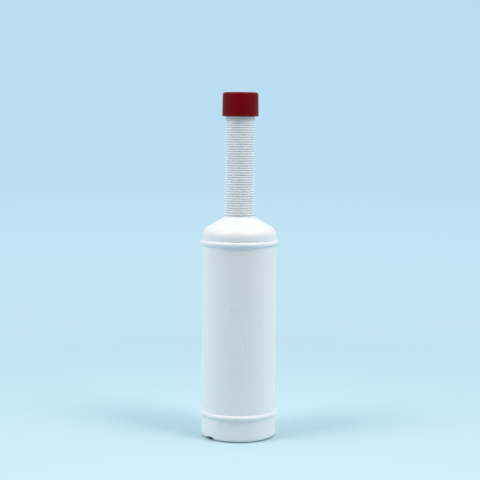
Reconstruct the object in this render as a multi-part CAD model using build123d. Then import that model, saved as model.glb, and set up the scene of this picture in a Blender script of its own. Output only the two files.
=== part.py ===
from build123d import *
from math import cos, radians, sin, tan
import os

# Long neck bottle with a screw cap, in millimetres.
# The origin is the centre of the base on the surface that the bottle stands on, and +Z is up.
# The mould's parting plane holds the Z axis and the registration notch.

# Body
body_radius = 31.4          # plain wall, also behind the label
bead_height = 1.6           # of the two beads that guard the label, above the wall
bead_width = 4.6            # foot of a bead, along the wall
lower_bead_z = 20.6
label_height = 144.5        # from the lower bead's crest to the upper one's
shoulder_rise = 10.35       # from the upper bead's crest to where wall and cone would meet
shoulder_angle = 31.0       # slope of the shoulder below horizontal, in degrees
shoulder_round = 8.5
body_wall = 0.9

# Base
foot_round = 2.2
foot_lift = 0.6             # how far the round ends above the surface that the bottle stands on
foot_recess = 0.6           # from the end of the round in to the standing ring
standing_width = 1.2        # flat ring that the bottle stands on
push_up_height = 3.2
push_up_run = 6.5           # length of the slope inside the standing ring
base_wall = 1.2
pinch_length = 38.0         # welded seam of the tube, under the base
pinch_width = 1.2
pinch_height = 0.6
notch_angle = 218.5         # direction of the registration notch, in degrees from +X
notch_width = 11.0
notch_height = 2.2
notch_depth = 2.0
notch_round = 1.0

# Neck
neck_foot_radius = 12.85    # crest of the rings at the shoulder
neck_top_radius = 12.6      # crest of the rings under the cap
neck_fillet = 1.05
ring_count = 42
ring_pitch = 1.966
groove_depth = 0.8
neck_wall = 0.9             # behind the deepest groove

# Threaded finish
finish_height = 17.1
finish_radius = 12.6        # wall between the turns of the thread
finish_bore_radius = 10.8
bore_lead = 1.5             # height of the taper between the neck's bore and the finish's
rim_edge = 0.4
thread_pitch = 4.233
thread_turns = 1.5
thread_height = 1.15
thread_root_width = 2.4
thread_crest_width = 0.9
thread_drop = 2.4           # from the rim to the centre of the thread's upper end
thread_fade = 50.0          # degrees over which each end of a thread rises from its wall
thread_bite = 0.4           # how deep a thread's root is sunk in its wall

# Cap and liner
cap_height = 19.9
cap_radius = 15.2           # at the open end
cap_draft = 0.8             # degrees
cap_top_wall = 1.4
cap_edge_round = 2.4
cap_lip = 0.3               # small bevel round the open end
liner_thickness = 1.3
liner_clearance = 0.3       # radial, between the liner and the cap
thread_clearance = 0.15     # radial, between the cap and the finish
thread_play = 0.15          # axial, between the flanks that press together

# How many flats stand for each round
foot_flat_count = 2
bead_flat_count = 4
shoulder_flat_count = 3
neck_flat_count = 2
crown_flat_count = 3
inner_flat_count = 1        # for every round inside the bottle

# Radii and heights that follow from the sizes above
slope = tan(radians(shoulder_angle))
bead_radius = body_radius + bead_height
standing_radius = body_radius - foot_round - foot_recess
upper_bead_z = lower_bead_z + label_height
shoulder_z = upper_bead_z + shoulder_rise
shoulder_height = (body_radius - neck_foot_radius + groove_depth) * slope
neck_foot_z = shoulder_z + shoulder_height + neck_fillet
neck_top_z = neck_foot_z + ring_count * ring_pitch
neck_bore_radius = min(neck_foot_radius, neck_top_radius) - groove_depth - neck_wall
rim_z = neck_top_z + finish_height
ceiling_z = rim_z + liner_thickness
cap_top_z = ceiling_z + cap_top_wall
cap_foot_z = cap_top_z - cap_height
cap_bore_radius = finish_radius + thread_height + thread_clearance
bottle_thread_z = rim_z - thread_drop - thread_turns * thread_pitch
cap_thread_z = bottle_thread_z - (thread_root_width + thread_crest_width) / 2 - thread_play


def revolved(points):
    """The solid of a closed outline, given as radius and height, turned round the Z axis."""
    return revolve(Plane.XZ * make_face(Polyline(*points, close=True)), Axis.Z)


def flats(arc, count):
    """Points along a round. Short flats between them keep a turned solid light."""
    return [arc @ (i / count) for i in range(count + 1)]


def rounded(before, corner, after, radius, count):
    """Points of the round that replaces a corner, tangent to the lines before and after it."""
    before, corner, after = Vector(*before), Vector(*corner), Vector(*after)
    back, on = (before - corner).normalized(), (after - corner).normalized()
    half = radians(back.get_angle(on)) / 2
    middle = corner + (back + on).normalized() * (radius / sin(half) - radius)
    run = radius / tan(half)
    return flats(ThreePointArc(corner + back * run, middle, corner + on * run), count)


def bead(height):
    """Points of a label bead, from the plain wall out to its crest and back."""
    half = bead_width / 2
    foot, top = (body_radius, height - half), (body_radius, height + half)
    return flats(ThreePointArc(foot, (bead_radius, height), top), bead_flat_count)


def base_points(floor):
    """The underside or, with a floor raised above it, the inside of the base."""
    standing_inner = standing_radius - standing_width
    return [
        (0, push_up_height + floor),
        (standing_inner - push_up_run, push_up_height + floor),
        (standing_inner, floor),
    ]


def foot_points(inset, floor, count):
    """The round between the base and the wall."""
    wall = body_radius - inset
    before, corner, after = (0, floor), (wall, floor), (wall, lower_bead_z)
    return rounded(before, corner, after, foot_round - inset, count)


def shoulder_points(inset, neck_radius, count, neck_count):
    """The rounded shoulder up to the neck. inset moves it into the bottle, square to its slope."""
    wall = body_radius - inset
    corner_z = shoulder_z + inset * slope - inset / cos(radians(shoulder_angle))
    root = (neck_radius, corner_z + (wall - neck_radius) * slope)
    above = (neck_radius, rim_z)
    before, corner = (wall, upper_bead_z), (wall, corner_z)
    shoulder = rounded(before, corner, root, shoulder_round - inset, count)
    return shoulder + rounded(corner, root, above, neck_fillet + inset, neck_count)


def ring_radius(height):
    """Crest radius of the tapered neck at a height."""
    share = (height - neck_foot_z) / (neck_top_z - neck_foot_z)
    return neck_foot_radius + (neck_top_radius - neck_foot_radius) * share


def ring_points():
    """The neck's rings as grooves and crests, from the shoulder to the finish."""
    points = []
    for ring in range(ring_count):
        groove = neck_foot_z + ring * ring_pitch
        crest = groove + ring_pitch / 2
        points.append((ring_radius(groove) - groove_depth, groove))
        points.append((ring_radius(crest), crest))
    return points


def outside():
    """The bottle's outer form as if it were full."""
    finish = [
        (finish_radius, neck_top_z),
        (finish_radius, rim_z - rim_edge),
        (finish_radius - rim_edge, rim_z),
        (0, rim_z),
    ]
    ledge = [(standing_radius, 0), (standing_radius, foot_lift)]
    base = base_points(0) + ledge + foot_points(0, foot_lift, foot_flat_count)
    groove_radius = neck_foot_radius - groove_depth
    shoulder = shoulder_points(0, groove_radius, shoulder_flat_count, neck_flat_count)
    beads = bead(lower_bead_z) + bead(upper_bead_z)
    return revolved(base + beads + shoulder + ring_points() + finish)


def cavity():
    """The space inside the bottle, open at the rim."""
    mouth = [
        (neck_bore_radius, neck_top_z - bore_lead),
        (finish_bore_radius, neck_top_z),
        (finish_bore_radius, rim_z - rim_edge),
        (finish_bore_radius + 2 * rim_edge, rim_z + rim_edge),
        (0, rim_z + rim_edge),
    ]
    base = base_points(base_wall) + foot_points(body_wall, base_wall + foot_lift, inner_flat_count)
    shoulder = shoulder_points(body_wall, neck_bore_radius, inner_flat_count, inner_flat_count)
    return revolved(base + shoulder + mouth)


def notch(margin):
    """The registration notch in the foot. margin grows it, to keep a wall behind it."""
    block = Box(2 * (notch_depth + margin), notch_width + 2 * margin, 2 * (notch_height + margin))
    top_edges = block.edges().filter_by(Axis.X).group_by(Axis.Z)[-1]
    return Rot(Z=notch_angle) * Pos(X=body_radius) * fillet(top_edges, notch_round + margin)


def pinch_seam():
    """The welded seam that the mould leaves under the base, along the parting plane."""
    sunk = base_wall / 2
    seam = Box(pinch_length, pinch_width, pinch_height + sunk)
    return Rot(Z=notch_angle) * Pos(Z=push_up_height + (sunk - pinch_height) / 2) * seam


def thread_width(rise):
    """Width of a thread at a rise above its wall, or below it where the rise is negative."""
    return thread_root_width - (thread_root_width - thread_crest_width) * rise / thread_height


def thread_rise(angle):
    """How far a thread's crest stands above its wall: each end fades in a smooth ramp."""
    sweep = 360 * thread_turns
    share = max(0, min(angle, sweep - angle, thread_fade)) / thread_fade
    buried = -thread_bite / 2
    return buried + (thread_height - buried) * share * share * (3 - 2 * share)


def thread_point(wall, side, rise, angle, foot_z, edge):
    """A point on a thread. side is 1 outside a wall and -1 inside one, edge is 1 above."""
    radius = wall + side * rise
    height = foot_z + thread_pitch * angle / 360 + edge * thread_width(rise) / 2
    return Vector(radius * cos(radians(angle)), radius * sin(radians(angle)), height)


def thread(wall, side, foot_z):
    """A moulded right-hand thread of trapezoid section, its root sunk in the wall."""
    step = 10
    angles = [step * i for i in range(round(360 * thread_turns / step) + 1)]
    rails = []
    for sunk, edge in ((True, -1), (False, -1), (False, 1), (True, 1)):
        rail = []
        for angle in angles:
            rise = -thread_bite if sunk else thread_rise(angle)
            rail.append(thread_point(wall, side, rise, angle, foot_z, edge))
        rails.append(Spline(*rail))
    faces = [Face.make_surface_from_curves(rails[i - 1].edge(), rails[i].edge()) for i in range(4)]
    for end in (0, 1):
        faces.append(make_face(Polyline(*[rail @ end for rail in rails], close=True)).face())
    return Solid(Shell(faces))


def bottle():
    """The blown shell with its notch, base seam and thread."""
    shell = outside() - notch(0) - (cavity() - notch(body_wall))
    return shell + pinch_seam() + thread(finish_radius, 1, bottle_thread_z)


def cap_outside():
    """The cap's outer form, with a drafted skirt and a rounded crown."""
    top_radius = cap_radius - cap_height * tan(radians(cap_draft))
    skirt_foot, edge, centre = (cap_radius, cap_foot_z + cap_lip), (top_radius, cap_top_z), (0, cap_top_z)
    lip = [(0, cap_foot_z), (cap_radius - cap_lip, cap_foot_z), skirt_foot]
    crown = rounded(skirt_foot, edge, centre, cap_edge_round, crown_flat_count)
    return revolved(lip + crown + [centre])


def screw_cap():
    """The cap with its hollow and its inner thread."""
    hollow = [
        (0, cap_foot_z),
        (cap_bore_radius + cap_lip, cap_foot_z),
        (cap_bore_radius, cap_foot_z + cap_lip),
        (cap_bore_radius, ceiling_z),
        (0, ceiling_z),
    ]
    return cap_outside() - revolved(hollow) + thread(cap_bore_radius, -1, cap_thread_z)


def cap_liner():
    """The foam disc between the rim and the cap's ceiling."""
    disc = Cylinder(cap_bore_radius - liner_clearance, liner_thickness)
    return Pos(Z=rim_z + liner_thickness / 2) * disc


os.makedirs("parts", exist_ok=True)
for make in (bottle, cap_liner, screw_cap):
    export_step(make(), f"parts/{make.__name__}.step")
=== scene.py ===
from math import atan2, cos, hypot, pi, radians, sin, sqrt, tan

import bmesh
import bpy
from mathutils import Matrix, Vector, noise


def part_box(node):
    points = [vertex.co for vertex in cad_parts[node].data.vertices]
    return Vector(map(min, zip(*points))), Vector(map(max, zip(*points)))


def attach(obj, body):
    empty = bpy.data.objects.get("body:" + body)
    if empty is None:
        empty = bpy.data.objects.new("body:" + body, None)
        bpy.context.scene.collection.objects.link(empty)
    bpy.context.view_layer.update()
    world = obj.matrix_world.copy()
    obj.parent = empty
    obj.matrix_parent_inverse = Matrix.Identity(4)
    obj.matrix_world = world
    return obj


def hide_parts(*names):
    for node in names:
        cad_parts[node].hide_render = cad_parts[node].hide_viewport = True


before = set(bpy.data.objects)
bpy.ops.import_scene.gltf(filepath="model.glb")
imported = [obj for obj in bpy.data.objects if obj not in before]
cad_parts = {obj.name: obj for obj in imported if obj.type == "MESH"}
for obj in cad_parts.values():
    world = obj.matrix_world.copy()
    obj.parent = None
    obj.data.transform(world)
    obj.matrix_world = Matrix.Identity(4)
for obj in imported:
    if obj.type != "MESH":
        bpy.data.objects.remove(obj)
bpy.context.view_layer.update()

# The camera stands a little over a metre in front of the bottle, level with its cap,
# with a long lens, and looks down by a few degrees, as in the photograph.
camera_place = (0, -1.1184, 0.2762)
camera_down = radians(5.588)
camera_roll = radians(0.42)
camera_yaw = radians(-0.021)
camera = bpy.data.objects.new("camera", bpy.data.cameras.new("camera"))
camera.data.sensor_width = 36
camera.data.lens = 100.1
camera.matrix_world = (
    Matrix.Translation(camera_place)
    @ Matrix.Rotation(camera_yaw, 4, "Z")
    @ Matrix.Rotation(pi / 2 - camera_down, 4, "X")
    @ Matrix.Rotation(camera_roll, 4, "Z")
)
bpy.context.scene.collection.objects.link(camera)
bpy.context.scene.camera = camera

# The bottle is blown from a tube of white high-density polyethylene in a two-part mould.
# One thin wall runs from the push-up base through two label beads, the shoulder and the
# long ringed neck to the threaded finish, and it is all one piece.
MM = 0.001
SEGMENTS = 144

bottle_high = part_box("bottle")[1]
bead_radius = bottle_high[1] / MM
bead_height = 1.6
bead_width = 4.6
body_radius = bead_radius - bead_height
body_wall = 0.9
lower_bead_z = 20.6
label_height = 144.5
upper_bead_z = lower_bead_z + label_height
shoulder_rise = 10.35
shoulder_z = upper_bead_z + shoulder_rise
shoulder_angle = radians(31)
shoulder_round = 8.5
foot_round = 2.2
foot_lift = 0.6
foot_recess = 0.6
wall_foot_z = foot_lift + foot_round + 0.2
standing_width = 1.2
standing_radius = body_radius - foot_round - foot_recess
standing_inner = standing_radius - standing_width
push_up_height = 3.2
push_up_run = 6.5
base_wall = 1.2
ring_count = 42
ring_pitch = 1.966
groove_depth = 0.8
neck_foot_radius = 12.85
neck_top_radius = 12.6
neck_bore_radius = 10.9
neck_fillet = 1.05
rim_z = bottle_high[2] / MM
finish_height = 17.1
finish_radius = 12.6
finish_bore_radius = 10.8
mouth_radius = finish_bore_radius + 0.8
bore_lead = 1.5
neck_top_z = rim_z - finish_height
neck_foot_z = neck_top_z - ring_count * ring_pitch


def wire(mesh, corners, step):
    """A wire through corners given as radius, height and length of rounding, in millimetres."""
    # Half a step off the XZ plane, so that this plane runs between two columns of the spin.
    turn = -pi / SEGMENTS
    verts = []
    for radius, height, rounding in corners:
        verts.append(mesh.verts.new((radius * cos(turn) * MM, radius * sin(turn) * MM, height * MM)))
    for start, end in zip(verts, verts[1:]):
        mesh.edges.new((start, end))
    for vert, (radius, height, rounding) in zip(verts, corners):
        if rounding:
            bmesh.ops.bevel(
                mesh, geom=[vert], offset=rounding * MM, offset_type="OFFSET",
                segments=max(3, round(rounding / step)), profile=0.5, material=-1, affect="VERTICES",
            )


def turned(corners, step):
    """The skin that a wire through the corners makes as it turns once round the Z axis."""
    mesh = bmesh.new()
    wire(mesh, corners, step)
    bmesh.ops.spin(
        mesh, geom=mesh.verts[:] + mesh.edges[:], cent=(0, 0, 0), axis=(0, 0, 1),
        angle=2 * pi, steps=SEGMENTS, use_merge=True,
    )
    bmesh.ops.remove_doubles(mesh, verts=mesh.verts, dist=0.002 * MM)
    return mesh


def join(mesh, other):
    """Adds another mesh to a mesh."""
    data = bpy.data.meshes.new("joined")
    other.to_mesh(data)
    other.free()
    mesh.from_mesh(data)
    bpy.data.meshes.remove(data)


def smooth(share):
    """A soft step from 0 to 1."""
    share = max(0, min(1, share))
    return share * share * (3 - 2 * share)


def bead_corners(height, inset):
    """A round label bead from its lower foot to its upper one. inset gives the wall's inside."""
    half = bead_width / 2
    bead_round = (half ** 2 + bead_height ** 2) / (2 * bead_height)
    middle = bead_radius - bead_round
    reach = bead_round - inset
    rise = sqrt(reach ** 2 - (body_radius - inset - middle) ** 2)
    spread = atan2(rise, body_radius - inset - middle)
    plain = 0.8
    corners = [(body_radius - inset, height - rise - plain, 0)]
    for step in range(13):
        angle = spread * (step / 6 - 1)
        corners.append((middle + reach * cos(angle), height + reach * sin(angle), 0))
    return corners + [(body_radius - inset, height + rise + plain, 0)]


def shoulder_corners(inset, neck_radius):
    """The shoulder's round and slope, up to its root at the neck."""
    wall = body_radius - inset
    corner_z = shoulder_z + inset * tan(shoulder_angle) - inset / cos(shoulder_angle)
    root_z = corner_z + (wall - neck_radius) * tan(shoulder_angle)
    run = tan((pi / 2 - shoulder_angle) / 2)
    return [
        (wall, corner_z, (shoulder_round - inset) * run),
        (neck_radius, root_z, (neck_fillet + inset) * run),
    ]


def ring_corners():
    """The neck's rings: half-round crests with narrow grooves between them."""
    ring_steps = 8
    cut_off = 0.2
    corners = []
    for count in range(ring_count * ring_steps):
        share = count / (ring_count * ring_steps)
        crest = neck_foot_radius + (neck_top_radius - neck_foot_radius) * share
        across = 2 * (count % ring_steps) / ring_steps - 1
        bulge = (sqrt(1 - (1 - cut_off ** 2) * across ** 2) - cut_off) / (1 - cut_off)
        height = neck_foot_z + count * ring_pitch / ring_steps
        corners.append((crest - groove_depth * (1 - bulge), height, 0))
    return corners


def panel_corners(inset):
    """Even steps up the label panel, which give its slight waves a mesh to move."""
    margin, steps = 6, 24
    foot, top = lower_bead_z + margin, upper_bead_z - margin
    return [(body_radius - inset, foot + (top - foot) * step / steps, 0) for step in range(steps + 1)]


outside = [
    (0, push_up_height, 0),
    (standing_inner - push_up_run, push_up_height, 1.6),
    (standing_inner, 0, 0.6),
    (standing_radius, 0, 0.15),
    (standing_radius, foot_lift, 0.1),
    (body_radius, foot_lift, foot_round),
    (body_radius, wall_foot_z, 0),
    (body_radius, wall_foot_z + 1.3, 0),
]
outside += bead_corners(lower_bead_z, 0) + panel_corners(0) + bead_corners(upper_bead_z, 0)
outside += shoulder_corners(0, neck_foot_radius - groove_depth) + ring_corners()
outside += [
    (neck_top_radius - groove_depth, neck_top_z, 0),
    (finish_radius, neck_top_z + 0.4, 0),
    (finish_radius, rim_z, 0.4),
    (mouth_radius, rim_z, 0),
]
inside = [
    (mouth_radius, rim_z, 0),
    (finish_bore_radius, rim_z, 0.4),
    (finish_bore_radius, neck_top_z, 0),
    (neck_bore_radius, neck_top_z - bore_lead, 0),
]
inside += reversed(shoulder_corners(body_wall, neck_bore_radius))
inside += reversed(bead_corners(upper_bead_z, body_wall))
inside += reversed(panel_corners(body_wall))
inside += reversed(bead_corners(lower_bead_z, body_wall))
inside += [
    (body_radius - body_wall, wall_foot_z + 1.3, 0),
    (body_radius - body_wall, wall_foot_z, 0),
    (body_radius - body_wall, base_wall + foot_lift, foot_round - body_wall),
    (standing_radius, base_wall + foot_lift, 0.2),
    (standing_inner, base_wall, 0.6),
    (standing_inner - push_up_run, push_up_height + base_wall, 1.6),
    (0, push_up_height + base_wall, 0),
]


# The parting plane is taken as the XZ plane until the skins are turned to its real direction.
parting_angle = radians(220.5)
notch_width = 10.0
notch_height = 3.0
notch_round = 2.4
notch_inner = 20


def notched(mesh, inset):
    """Lifts the foot into an arched notch through the standing ring, on the parting plane."""
    half, height = notch_width / 2 + inset, notch_height + inset
    bmesh.ops.bisect_plane(
        mesh, geom=mesh.verts[:] + mesh.edges[:] + mesh.faces[:],
        plane_co=(0, 0, height * MM), plane_no=(0, 0, 1), dist=0.001 * MM,
    )
    edges = []
    for edge in mesh.edges:
        middle = (edge.verts[0].co + edge.verts[1].co) / (2 * MM)
        level = abs(edge.verts[0].co.z - edge.verts[1].co.z) < 0.01 * MM
        near = middle.x > notch_inner and abs(middle.y) < half + 1 and middle.z < height + 0.5
        if level and near:
            edges.append(edge)
    bmesh.ops.subdivide_edges(mesh, edges=edges, cuts=4, use_grid_fill=True)
    for vert in mesh.verts:
        over = max(0, abs(vert.co.y) / MM - half + notch_round)
        if vert.co.x > 0 and over < notch_round:
            arch = height - notch_round + sqrt(notch_round ** 2 - over ** 2)
            vert.co.z = max(vert.co.z, arch * MM)


def waved(mesh):
    """Gives the label panel the slight unevenness of a blown wall, fading out at its ends."""
    margin, fade, wave_length, depth = 5, 12, 26, 0.2
    for vert in mesh.verts:
        height = vert.co.z / MM
        from_foot = smooth((height - lower_bead_z - margin) / fade)
        from_top = smooth((upper_bead_z - margin - height) / fade)
        free = from_foot * from_top
        if free > 0:
            lift = 0.5 + 0.5 * noise.noise(vert.co / (wave_length * MM))
            vert.co.xy *= 1 - depth * free * lift / body_radius


def parting_ridge(mesh):
    """A fine ridge up both sides, where the two halves of the mould met."""
    half_width, rise = 0.25, 0.05
    for offset in (-half_width, 0, half_width):
        bmesh.ops.bisect_plane(
            mesh, geom=mesh.verts[:] + mesh.edges[:] + mesh.faces[:],
            plane_co=(0, offset * MM, 0), plane_no=(0, 1, 0), dist=0.001 * MM,
        )
    for vert in mesh.verts:
        if abs(vert.co.y) < 0.01 * MM and push_up_height + 1 < vert.co.z / MM < neck_top_z:
            vert.co.xy *= 1 + rise * MM / abs(vert.co.x)


thread_pitch = 4.233
thread_turns = 1.5
thread_fade = 50
thread_drop = 2.4
bottle_thread_z = rim_z - thread_drop - thread_turns * thread_pitch


def thread(wall, side, foot_z):
    """A moulded right-hand thread, its root sunk in the wall and its ends faded into it."""
    steps = 108
    height, bite = 1.15, 0.4
    root_half, crest_half, edge_round = 1.45, 0.45, 0.3
    section = ((-bite, -root_half), (height, -crest_half), (height, crest_half), (-bite, root_half))
    mesh = bmesh.new()
    verts = []
    for rise, level in section:
        verts.append(mesh.verts.new(((wall + side * rise) * MM, 0, (foot_z + level) * MM)))
    for start, end in zip(verts, verts[1:] + verts[:1]):
        mesh.edges.new((start, end))
    bmesh.ops.bevel(
        mesh, geom=verts[1:3], offset=edge_round * MM, offset_type="OFFSET",
        segments=3, profile=0.5, material=-1, affect="VERTICES",
    )
    bmesh.ops.spin(
        mesh, geom=mesh.verts[:] + mesh.edges[:], cent=(0, 0, 0), axis=(0, 0, 1),
        dvec=(0, 0, thread_turns * thread_pitch * MM / steps),
        angle=2 * pi * thread_turns, steps=steps,
    )
    bmesh.ops.holes_fill(mesh, edges=[edge for edge in mesh.edges if edge.is_boundary])
    for vert in mesh.verts:
        radius = hypot(vert.co.x, vert.co.y) / MM
        share = atan2(vert.co.y, vert.co.x) / (2 * pi)
        turn = share + round((vert.co.z / MM - foot_z) / thread_pitch - share)
        end = smooth(min(turn, thread_turns - turn) * 360 / thread_fade)
        rise = side * (radius - wall) + bite
        rise *= (bite / 2 + (height + bite / 2) * end) / (height + bite)
        vert.co.xy *= (wall + side * (rise - bite)) / radius
    return mesh


def pinch_seam():
    """The weld under the base, where the mould pinched the tube shut."""
    length, width, height, sunk = 38, 1.2, 1.0, 0.4
    unevenness, wave_length, edge_round = 0.25, 3, 0.25
    mesh = bmesh.new()
    size = Matrix.Diagonal((length * MM, width * MM, height * MM, 1))
    bmesh.ops.create_cube(mesh, size=1, matrix=size)
    long_edges = [edge for edge in mesh.edges if abs(edge.verts[0].co.x - edge.verts[1].co.x) > MM]
    bmesh.ops.subdivide_edges(mesh, edges=long_edges, cuts=length - 1, use_grid_fill=True)
    for vert in mesh.verts:
        vert.co.y *= 1 + unevenness * noise.noise(vert.co / (wave_length * MM))
        vert.co.z += (push_up_height + sunk - height / 2) * MM
    sharp_edges = [edge for edge in mesh.edges if edge.calc_face_angle(0) > 1]
    bmesh.ops.bevel(
        mesh, geom=sharp_edges, offset=edge_round * MM, offset_type="OFFSET",
        segments=2, profile=0.5, material=-1, affect="EDGES",
    )
    return mesh


outer_skin = turned(outside, 0.3)
waved(outer_skin)
notched(outer_skin, 0)
parting_ridge(outer_skin)
inner_skin = turned(inside, 0.5)
waved(inner_skin)
notched(inner_skin, body_wall)
bottle_mesh = bmesh.new()
join(bottle_mesh, outer_skin)
join(bottle_mesh, inner_skin)
join(bottle_mesh, pinch_seam())
bmesh.ops.remove_doubles(bottle_mesh, verts=bottle_mesh.verts, dist=0.002 * MM)
bmesh.ops.rotate(
    bottle_mesh, cent=(0, 0, 0), matrix=Matrix.Rotation(parting_angle, 3, "Z"),
    verts=bottle_mesh.verts,
)
join(bottle_mesh, thread(finish_radius, 1, bottle_thread_z))
bmesh.ops.recalc_face_normals(bottle_mesh, faces=bottle_mesh.faces)


def put_in_order(parts, place):
    """Sorts a mesh's verts or faces by place, as operators leave them in varying order."""
    ranks = {part: rank for rank, part in enumerate(sorted(parts, key=place))}
    parts.sort(key=ranks.get)


def mesh_piece(name, mesh):
    """Makes a finished mesh an object, smooth apart from its sharp edges."""
    sharp_angle = radians(40)
    put_in_order(mesh.verts, lambda vert: vert.co[:])
    put_in_order(mesh.faces, lambda face: face.calc_center_median()[:])
    data = bpy.data.meshes.new(name)
    mesh.to_mesh(data)
    mesh.free()
    data.shade_smooth()
    data.set_sharp_from_angle(angle=sharp_angle)
    piece = bpy.data.objects.new(name, data)
    bpy.context.scene.collection.objects.link(piece)
    return piece


def linear(code):
    """An sRGB colour, written as six hex digits, as linear red, green, blue and alpha."""
    shares = [int(code[place:place + 2], 16) / 255 for place in (0, 2, 4)]
    return [s / 12.92 if s <= 0.04045 else ((s + 0.055) / 1.055) ** 2.4 for s in shares] + [1]


def add_node(tree, kind, inputs={}, **settings):
    """Adds a node. An input is given a value or, where it is a socket, a link."""
    made = tree.nodes.new(kind)
    for name, value in settings.items():
        setattr(made, name, value)
    for name, value in inputs.items():
        if isinstance(value, bpy.types.NodeSocket):
            tree.links.new(value, made.inputs[name])
        else:
            made.inputs[name].default_value = value
    return made


def new_material(name):
    """A node material that holds no nodes yet, and its node tree."""
    material = bpy.data.materials.new(name)
    material.use_nodes = True
    material.node_tree.nodes.clear()
    return material, material.node_tree


def over_colours(tree, share, first, second):
    """A colour between two others."""
    return add_node(
        tree, "ShaderNodeMix", {"Factor": share, 6: first, 7: second}, data_type="RGBA",
    ).outputs[2]


bottle = mesh_piece("blown_bottle", bottle_mesh)
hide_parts("bottle")
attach(bottle, "bottle")

# Natural white polyethylene from a satin mould. The light goes a little way into it. Fine
# upright lines and faint streaks come from the die, soft waves from blowing and a fine grain
# from the mould. Scuffs dull the gloss, the neck's grooves are tinted a darker grey as painted
# shade between the rings, and a few grey rub marks show on the front.
hdpe, tree = new_material("blown_white_hdpe")
place = add_node(tree, "ShaderNodeTexCoord").outputs["Object"]
drawn = add_node(tree, "ShaderNodeMapping", {"Vector": place, "Scale": (1.0, 1.0, 0.12)})
cloud = add_node(
    tree, "ShaderNodeTexNoise", {"Vector": drawn.outputs[0], "Scale": 1 / (8 * MM), "Detail": 2.0},
)
upright = add_node(tree, "ShaderNodeMapping", {"Vector": place, "Scale": (1.0, 1.0, 0.02)})
lines = add_node(
    tree, "ShaderNodeTexNoise", {"Vector": upright.outputs[0], "Scale": 1 / (1.4 * MM), "Detail": 2.0},
)
slanted = add_node(
    tree, "ShaderNodeMapping",
    {"Vector": place, "Rotation": (0.0, radians(35), radians(20)), "Scale": (1.0, 1.0, 0.04)},
)
rubs = add_node(
    tree, "ShaderNodeTexNoise", {"Vector": slanted.outputs[0], "Scale": 1 / (0.7 * MM), "Detail": 1.0},
)
scuffs = add_node(
    tree, "ShaderNodeMapRange", {"Value": rubs.outputs[0], "From Min": 0.66, "From Max": 0.78},
)
up = add_node(tree, "ShaderNodeSeparateXYZ", {0: place}).outputs[2]
flattened = add_node(tree, "ShaderNodeVectorMath", {0: place, 1: (1, 1, 0)}, operation="MULTIPLY")
radius = add_node(tree, "ShaderNodeVectorMath", {0: flattened.outputs[0]}, operation="LENGTH")
# Painted shade: the deeper into a neck groove, the darker grey the white is tinted, standing in for
# the shade between the rings.
unshaded_radius, shaded_radius = 12.6, 11.9
groove = add_node(
    tree, "ShaderNodeMapRange",
    {
        "Value": radius.outputs["Value"],
        "From Min": unshaded_radius * MM, "From Max": shaded_radius * MM,
    },
)
on_neck = add_node(
    tree, "ShaderNodeMapRange",
    {"Value": up, "From Min": (neck_foot_z - 1) * MM, "From Max": neck_foot_z * MM},
)
off_finish = add_node(
    tree, "ShaderNodeMath", {0: up, 1: (neck_top_z + 0.5) * MM}, operation="LESS_THAN",
)
groove_shade = add_node(
    tree, "ShaderNodeMath", {0: groove.outputs[0], 1: on_neck.outputs[0]}, operation="MULTIPLY",
)
groove_shade = add_node(
    tree, "ShaderNodeMath", {0: groove_shade.outputs[0], 1: off_finish.outputs[0]}, operation="MULTIPLY",
)
plastic = over_colours(tree, cloud.outputs[0], linear("E1E3E6"), linear("E7E8E9"))
# The painted groove shade darkens the plastic's colour here.
tint = over_colours(tree, groove_shade.outputs[0], plastic, linear("CFD2D1"))
mark_depth = 5
for across, height, width, tall, lean, strength in (
    (-6.0, 112.0, 5.6, 2.6, 10, 0.4),
    (-2.0, 112.5, 2.0, 3.0, -30, 0.25),
    (5.0, 86.5, 3.4, 3.4, 0, 0.28),
    (5.8, 77.5, 2.2, 21.0, -7, 0.2),
    (16.5, 97.0, 2.2, 20.0, 3, 0.15),
):
    # Each mark is an oval on the front wall, in millimetres, worn away unevenly.
    middle = Vector((across, -sqrt(body_radius ** 2 - across ** 2), height)) * MM
    turn = add_node(
        tree, "ShaderNodeMapping",
        {"Vector": place, "Location": middle, "Rotation": (0.0, radians(lean), 0.0),
         "Scale": (width * MM / 2, mark_depth * MM, tall * MM / 2)},
        vector_type="TEXTURE",
    )
    away = add_node(tree, "ShaderNodeVectorMath", {0: turn.outputs[0]}, operation="LENGTH")
    mark = add_node(
        tree, "ShaderNodeMapRange",
        {"Value": away.outputs["Value"], "From Min": 1.0, "From Max": 0.3, "To Max": strength},
    )
    worn = add_node(
        tree, "ShaderNodeMath", {0: mark.outputs[0], 1: rubs.outputs[0]}, operation="MULTIPLY",
    )
    tint = over_colours(tree, worn.outputs[0], tint, linear("9DA3A6"))
grain = add_node(tree, "ShaderNodeTexNoise", {"Vector": place, "Scale": 1 / (0.5 * MM), "Detail": 3.0})
waves = add_node(tree, "ShaderNodeTexNoise", {"Vector": place, "Scale": 1 / (16 * MM), "Detail": 1.0})
below_neck = add_node(
    tree, "ShaderNodeMapRange",
    {"Value": up, "From Min": neck_foot_z * MM, "From Max": shoulder_z * MM},
)
wave_bump = add_node(
    tree, "ShaderNodeBump",
    {"Height": waves.outputs[0], "Distance": 0.1 * MM, "Strength": below_neck.outputs[0]},
)
line_bump = add_node(
    tree, "ShaderNodeBump",
    {
        "Height": lines.outputs[0], "Distance": 0.012 * MM,
        "Strength": below_neck.outputs[0], "Normal": wave_bump.outputs[0],
    },
)
grain_bump = add_node(
    tree, "ShaderNodeBump",
    {
        "Height": grain.outputs[0], "Distance": 0.004 * MM,
        "Strength": 1.0, "Normal": line_bump.outputs[0],
    },
)
gloss = add_node(
    tree, "ShaderNodeMapRange", {"Value": cloud.outputs[0], "To Min": 0.38, "To Max": 0.46},
)
rough = add_node(
    tree, "ShaderNodeMath", {0: scuffs.outputs[0], 1: 0.15, 2: gloss.outputs[0]},
    operation="MULTIPLY_ADD",
)
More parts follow.
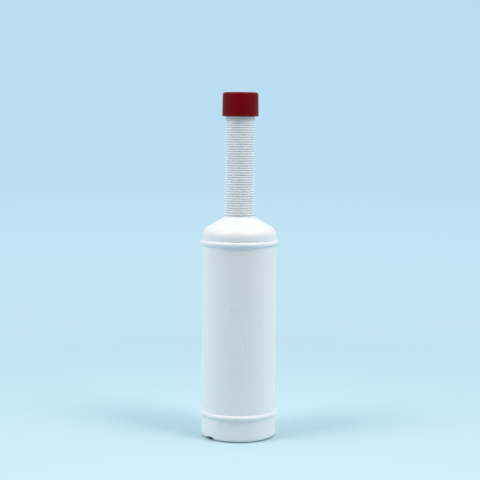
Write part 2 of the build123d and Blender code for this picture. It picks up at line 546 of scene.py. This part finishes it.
surface = add_node(
    tree, "ShaderNodeBsdfPrincipled",
    {
        "Base Color": tint,
        "Roughness": rough.outputs[0],
        "IOR": 1.54,
        "Subsurface Weight": 0.06,
        "Subsurface Radius": (1.0, 1.0, 1.0),
        "Subsurface Scale": 0.5 * MM,
        "Normal": grain_bump.outputs[0],
    },
)
add_node(tree, "ShaderNodeOutputMaterial", {"Surface": surface.outputs[0]})
bottle.data.materials.append(hdpe)

# The cap is moulded in dark red polypropylene. A drafted skirt with a fine groove near its
# foot rises to a tight round at the crown, and a thread inside takes the bottle's finish.
cap_low, cap_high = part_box("screw_cap")
cap_foot_z = cap_low[2] / MM
cap_top_z = cap_high[2] / MM
cap_radius = cap_high[1] / MM
cap_bore_radius = 13.9
cap_draft = radians(0.8)
cap_top_radius = cap_radius - (cap_top_z - cap_foot_z) * tan(cap_draft)
liner_thickness = 1.3
ceiling_z = rim_z + liner_thickness
flank_drop = 1.8
groove_z = cap_foot_z + 1.5
groove_bottom = cap_radius - 0.15
gate_z = cap_top_z - 0.3
stub_z = cap_top_z - 0.05
cap_mesh = turned([
    (0, ceiling_z, 0),
    (cap_bore_radius, ceiling_z, 0.4),
    (cap_bore_radius, cap_foot_z, 0.3),
    (cap_radius, cap_foot_z, 0.3),
    # The groove round the skirt.
    (cap_radius - 0.03, groove_z, 0),
    (groove_bottom, groove_z + 0.15, 0.1),
    (groove_bottom, groove_z + 0.35, 0.1),
    (cap_radius - 0.04, groove_z + 0.5, 0.1),
    (cap_top_radius, cap_top_z, 2.3),
    # The gate mark is a small dish round the stub where the plastic flowed in.
    (2.2, cap_top_z, 0.2),
    (1.9, gate_z, 0.15),
    (0.6, gate_z, 0.1),
    (0.5, stub_z, 0.1),
    (0, stub_z, 0),
], 0.25)
join(cap_mesh, thread(cap_bore_radius, -1, bottle_thread_z - flank_drop))
bmesh.ops.recalc_face_normals(cap_mesh, faces=cap_mesh.faces)
cap = mesh_piece("moulded_cap", cap_mesh)
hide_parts("screw_cap")
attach(cap, "cap")

# Dark red polypropylene from an evenly textured mould: the pigment varies slightly along the
# flow, and the fine grain spreads the little light that the surface mirrors.
polypropylene, tree = new_material("moulded_red_polypropylene")
place = add_node(tree, "ShaderNodeTexCoord").outputs["Object"]
flow = add_node(tree, "ShaderNodeTexNoise", {"Vector": place, "Scale": 1 / (7 * MM), "Detail": 2.0})
tint = over_colours(tree, flow.outputs[0], linear("6C030A"), linear("76050C"))
gloss = add_node(
    tree, "ShaderNodeMapRange", {"Value": flow.outputs[0], "To Min": 0.36, "To Max": 0.46},
)
grain = add_node(tree, "ShaderNodeTexNoise", {"Vector": place, "Scale": 1 / (0.4 * MM), "Detail": 3.0})
grain_bump = add_node(
    tree, "ShaderNodeBump", {"Height": grain.outputs[0], "Distance": 0.006 * MM, "Strength": 1.0},
)
surface = add_node(
    tree, "ShaderNodeBsdfPrincipled",
    {
        "Base Color": tint, "Roughness": gloss.outputs[0], "IOR": 1.49,
        "Specular IOR Level": 0.06, "Normal": grain_bump.outputs[0],
    },
)
add_node(tree, "ShaderNodeOutputMaterial", {"Surface": surface.outputs[0]})
cap.data.materials.append(polypropylene)

# The liner is a disc of pale foam, punched from sheet and pressed into the cap's ceiling. The
# bottle's rim seals against it.
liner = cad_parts["cap_liner"]
# Closed-cell foam: small round cells dimple it and shade its pale colour.
foam, tree = new_material("punched_liner_foam")
place = add_node(tree, "ShaderNodeTexCoord").outputs["Object"]
cells = add_node(tree, "ShaderNodeTexVoronoi", {"Vector": place, "Scale": 1 / (0.35 * MM)})
tint = over_colours(tree, cells.outputs["Distance"], linear("E4E2DA"), linear("EFEDE7"))
dimples = add_node(
    tree, "ShaderNodeBump",
    {"Height": cells.outputs["Distance"], "Distance": 0.05 * MM, "Strength": 1.0},
)
surface = add_node(
    tree, "ShaderNodeBsdfPrincipled",
    {"Base Color": tint, "Roughness": 0.8, "Normal": dimples.outputs[0]},
)
add_node(tree, "ShaderNodeOutputMaterial", {"Surface": surface.outputs[0]})
liner.data.materials.clear()
liner.data.materials.append(foam)

# The floor is a wide sheet of matt pale blue paper. Near the bottle it takes light and shadow
# from the lamps, and far off it fades into the plain background, so that no horizon shows.
floor_radius = 6.0
floor_mesh = bmesh.new()
bmesh.ops.create_circle(floor_mesh, cap_ends=True, segments=96, radius=floor_radius)
floor = mesh_piece("floor", floor_mesh)
background = linear("BADEF1")
backing, tree = new_material("pale_blue_paper")
place = add_node(tree, "ShaderNodeTexCoord").outputs["Object"]
distance = add_node(tree, "ShaderNodeVectorMath", {0: place}, operation="LENGTH").outputs["Value"]


def over_distance(near, far):
    """Rises softly from 0 to 1 between two distances from the bottle, in metres."""
    return add_node(
        tree, "ShaderNodeMapRange", {"Value": distance, "From Min": near, "From Max": far},
        interpolation_type="SMOOTHSTEP",
    ).outputs[0]


rays = add_node(tree, "ShaderNodeLightPath")
seen = add_node(
    tree, "ShaderNodeMath", {0: rays.outputs["Is Camera Ray"], 1: rays.outputs["Is Glossy Ray"]},
    operation="MAXIMUM",
)
share = add_node(
    tree, "ShaderNodeMath", {0: seen.outputs[0], 1: over_distance(0.15, 0.6)}, operation="MULTIPLY",
)
sheet = over_colours(tree, over_distance(0.35, 0.9), linear("BAD5DC"), linear("8090A0"))
paper = add_node(tree, "ShaderNodeBsdfDiffuse", {"Color": sheet})
far_off = over_colours(tree, over_distance(0.6, 4.0), linear("C5E5F5"), background)
plain = add_node(tree, "ShaderNodeEmission", {"Color": far_off, "Strength": 1.0})
mixed = add_node(
    tree, "ShaderNodeMixShader",
    {"Fac": share.outputs[0], 1: paper.outputs[0], 2: plain.outputs[0]},
)
add_node(tree, "ShaderNodeOutputMaterial", {"Surface": mixed.outputs[0]})
floor.data.materials.append(backing)

# The world is a pale room, lit from both sides, less from behind, above and below, and not
# from the front. Directions count by their square and the sides by their fourth power, which
# keeps their light narrow. To the camera the room shows as the plain background.
world = bpy.data.worlds.new("studio")
bpy.context.scene.world = world
world.use_nodes = True
tree = world.node_tree
tree.nodes.clear()
way = add_node(tree, "ShaderNodeTexCoord").outputs["Generated"]
ahead = add_node(
    tree, "ShaderNodeVectorMath", {0: way, 1: (-1, 0, -1)}, operation="MAXIMUM",
).outputs[0]
squares = add_node(
    tree, "ShaderNodeVectorMath", {0: ahead, 1: ahead}, operation="MULTIPLY",
).outputs[0]
narrowed = add_node(
    tree, "ShaderNodeVectorMath", {0: squares, 1: (0, 1, 1)}, operation="MAXIMUM",
).outputs[0]
lobes = add_node(
    tree, "ShaderNodeVectorMath", {0: squares, 1: narrowed}, operation="MULTIPLY",
).outputs[0]
strength = add_node(
    tree, "ShaderNodeVectorMath", {0: lobes, 1: (2.47, 0.87, 1.03)}, operation="DOT_PRODUCT",
).outputs["Value"]
above = add_node(tree, "ShaderNodeSeparateXYZ", {0: squares}).outputs[2]
cool = over_colours(tree, above, linear("F5F8FF"), linear("C2E6FF"))
rays = add_node(tree, "ShaderNodeLightPath")
seen = add_node(
    tree, "ShaderNodeMath", {0: rays.outputs["Is Camera Ray"], 1: rays.outputs["Is Glossy Ray"]},
    operation="MAXIMUM",
)
seen = add_node(
    tree, "ShaderNodeMath", {0: seen.outputs[0], 1: rays.outputs["Is Transmission Ray"]},
    operation="MAXIMUM",
)
ambient = add_node(tree, "ShaderNodeBackground", {"Color": cool, "Strength": strength})
plain = add_node(tree, "ShaderNodeBackground", {"Color": background, "Strength": 1.0})
mixed = add_node(
    tree, "ShaderNodeMixShader",
    {"Fac": seen.outputs[0], 1: ambient.outputs[0], 2: plain.outputs[0]},
)
add_node(tree, "ShaderNodeOutputWorld", {"Surface": mixed.outputs[0]})

# Two soft, slightly warm lamps stand high on the left and right, in front of the bottle. Each
# is a square panel that faces the bottle's middle.
aim = Vector((0, 0, 0.16))
reach = 1.1
for name, azimuth, elevation, power in (("left_lamp", -61, 57, 4.8), ("right_lamp", 54, 57, 5.5)):
    lamp = bpy.data.objects.new(name, bpy.data.lights.new(name, "AREA"))
    lamp.data.shape = "SQUARE"
    lamp.data.size = 0.36
    lamp.data.energy = power
    lamp.data.color = linear("FFECDA")[:3]
    turn, lift = radians(azimuth), radians(elevation)
    lamp.location = aim + reach * Vector((sin(turn) * cos(lift), -cos(turn) * cos(lift), sin(lift)))
    lamp.rotation_euler = (aim - lamp.location).to_track_quat("-Z", "Y").to_euler()
    bpy.context.scene.collection.objects.link(lamp)

bpy.context.scene.view_settings.view_transform = "Standard"
